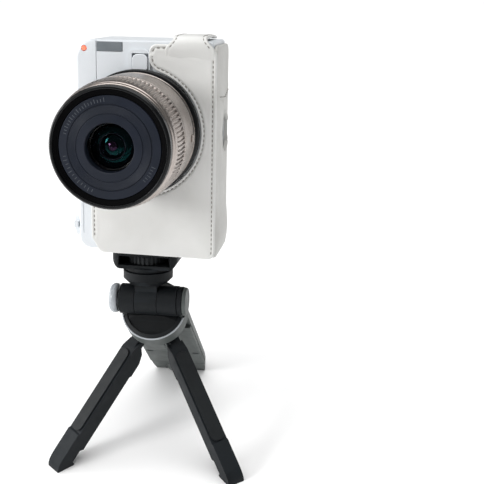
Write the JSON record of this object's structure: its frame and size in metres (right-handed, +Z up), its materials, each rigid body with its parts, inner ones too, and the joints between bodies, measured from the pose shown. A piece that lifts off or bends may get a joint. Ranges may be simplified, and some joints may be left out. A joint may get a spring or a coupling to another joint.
{
  "type": "camera on folding tripod grip",
  "caption": "Compact mirrorless camera in a white half case, upright on a folding tripod grip with a tilting, panning platform.",
  "frame": {"origin": "middle of the base, on the floor under the centre of the object", "axes": "+Z up, lens towards -Y, the viewer's right at +X"},
  "size_m": [0.1208, 0.158, 0.253],
  "materials": {
    "white_plastic": "satin white moulded plastic",
    "black_plastic": "fine textured black plastic",
    "grey_plastic": "fine textured dark grey plastic",
    "bright_trim": "satin bright plating",
    "steel": "plain steel",
    "lens_metal": "satin warm silver",
    "rubber": "soft matt rubber",
    "circuit": "circuit board",
    "sensor_glass": "filter glass",
    "lens_glass": "coated glass",
    "lamp_orange": "translucent lamp window",
    "record_red": "gloss",
    "case_leather": "smooth white imitation leather"
  },
  "bodies": {
    "rear_leg": {"grip_head": "black_plastic", "dome_cap": "black_plastic", "trim_ring": "bright_trim", "grip_collar": "grey_plastic", "leg_block": "grey_plastic", "rear_shell": "grey_plastic", "rear_cover": "grey_plastic", "end_band": "black_plastic", "heel_foot": "rubber", "hinge_bolt": "black_plastic", "hinge_end_cap": "grey_plastic", "remote_body": "grey_plastic", "left_leg_pin": "steel", "right_leg_pin": "steel"},
    "lock_button": {"lock_button": "bright_trim"},
    "remote_shutter": {"remote_shutter": "bright_trim"},
    "remote_rocker": {"remote_rocker": "bright_trim"},
    "left_leg": {"left_leg": "black_plastic", "left_leg_pad": "rubber"},
    "right_leg": {"right_leg": "black_plastic", "right_leg_pad": "rubber"},
    "tilt_head": {"tilt_knuckle": "black_plastic"},
    "camera": {"platform": "black_plastic", "platform_pad": "rubber", "camera_front": "white_plastic", "camera_back": "white_plastic", "top_plate": "white_plastic", "base_plate": "grey_plastic", "battery_door": "white_plastic", "battery": "black_plastic", "main_board": "circuit", "sensor_unit": "sensor_glass", "shutter_unit": "black_plastic", "mount_ring": "steel", "badge_plate": "steel", "tally_lamp": "lamp_orange", "accessory_shoe": "steel", "grip_socket": "steel", "lens_base_ring": "lens_metal", "lens_barrel": "lens_metal", "front_ring": "black_plastic", "name_ring": "black_plastic", "front_element": "lens_glass", "lens_sleeve": "black_plastic", "case_body": "case_leather", "case_tab": "case_leather"},
    "thumbwheel": {"thumbwheel": "black_plastic", "camera_screw": "steel"},
    "control_ring": {"control_ring": "lens_metal"},
    "zoom_lever": {"zoom_lever": "white_plastic"},
    "shutter_button": {"shutter_button": "bright_trim"},
    "mode_dial": {"mode_dial": "white_plastic"},
    "record_button": {"record_button": "record_red"},
    "control_dial": {"control_dial": "white_plastic"},
    "release_button": {"release_button": "white_plastic"},
    "lens_switch": {"lens_switch": "grey_plastic"},
    "control_pad": {"control_pad": "black_plastic"},
    "menu_button": {"menu_button": "black_plastic"},
    "screen": {"screen_panel": "black_plastic", "screen_arm": "black_plastic"}
  },
  "joints": [
    {"name": "left_leg_fold", "type": "hinge", "parent": "rear_leg", "child": "left_leg", "pos_m": [-0.0086, -0.0056, 0.06895], "axis": [0.8718, -0.3753, -0.3149], "range_deg": [0, 76.5]},
    {"name": "right_leg_fold", "type": "hinge", "parent": "rear_leg", "child": "right_leg", "pos_m": [0.0086, -0.0056, 0.06895], "axis": [0.8718, 0.3753, 0.3149], "range_deg": [0, 76.5]},
    {"name": "head_tilt", "type": "hinge", "parent": "rear_leg", "child": "tilt_head", "pos_m": [0, -0.00986, 0.096], "axis": [1, 0, 0], "range_deg": [-12, 80]},
    {"name": "pan", "type": "hinge", "parent": "tilt_head", "child": "camera", "pos_m": [-0.003, -0.00898, 0.09583], "axis": [0, 0.1942, 0.981], "continuous": true},
    {"name": "lock_press", "type": "slide", "parent": "rear_leg", "child": "lock_button", "axis": [1, 0, 0], "range_m": [0, 0.0011], "stiffness_N_per_m": 400, "springref_m": -0.001},
    {"name": "remote_shutter_press", "type": "slide", "parent": "rear_leg", "child": "remote_shutter", "axis": [0, -0.766, -0.6428], "range_m": [0, 0.0005], "stiffness_N_per_m": 300, "springref_m": -0.0005},
    {"name": "remote_zoom_rock", "type": "hinge", "parent": "rear_leg", "child": "remote_rocker", "pos_m": [0, 0.03574, 0.06449], "axis": [1, 0, 0], "range_deg": [-4, 4], "stiffness_Nm_per_rad": 0.02},
    {"name": "thumbwheel_turn", "type": "hinge", "parent": "camera", "child": "thumbwheel", "pos_m": [-0.003, -0.00898, 0.09583], "axis": [0, 0.1942, 0.981], "continuous": true},
    {"name": "control_ring_turn", "type": "hinge", "parent": "camera", "child": "control_ring", "pos_m": [-0.003, -0.05544, 0.21125], "axis": [0, -0.981, 0.1942], "continuous": true},
    {"name": "zoom_lever_turn", "type": "hinge", "parent": "camera", "child": "zoom_lever", "pos_m": [-0.0405, -0.00829, 0.14564], "axis": [1, 0, 0], "range_deg": [-18, 18], "stiffness_Nm_per_rad": 0.01},
    {"name": "shutter_press", "type": "slide", "parent": "camera", "child": "shutter_button", "axis": [1, 0, 0], "range_m": [0, 0.0006], "stiffness_N_per_m": 300, "springref_m": -0.0005},
    {"name": "mode_dial_turn", "type": "hinge", "parent": "camera", "child": "mode_dial", "pos_m": [-0.041, 0.0147, 0.17677], "axis": [1, 0, 0], "continuous": true},
    {"name": "record_press", "type": "slide", "parent": "camera", "child": "record_button", "axis": [1, 0, 0], "range_m": [0, 0.0008], "stiffness_N_per_m": 300, "springref_m": -0.0005},
    {"name": "control_dial_turn", "type": "hinge", "parent": "camera", "child": "control_dial", "pos_m": [-0.041, 0.01212, 0.14058], "axis": [1, 0, 0], "continuous": true},
    {"name": "lens_release_press", "type": "slide", "parent": "camera", "child": "release_button", "axis": [0, 0.981, -0.1942], "range_m": [0, 0.0009], "stiffness_N_per_m": 400, "springref_m": -0.0005},
    {"name": "lens_switch_slide", "type": "slide", "parent": "camera", "child": "lens_switch", "axis": [0, 0.981, -0.1942], "range_m": [-0.002, 0.002]},
    {"name": "control_pad_press", "type": "slide", "parent": "camera", "child": "control_pad", "axis": [0, -0.981, 0.1942], "range_m": [0, 0.0004], "stiffness_N_per_m": 300, "springref_m": -0.0005},
    {"name": "menu_press", "type": "slide", "parent": "camera", "child": "menu_button", "axis": [0, -0.981, 0.1942], "range_m": [0, 0.0005], "stiffness_N_per_m": 300, "springref_m": -0.0005},
    {"name": "screen_swing", "type": "hinge", "parent": "camera", "child": "screen", "pos_m": [-0.003, 0.04008, 0.23444], "axis": [1, 0, 0], "range_deg": [0, 175]}
  ]
}
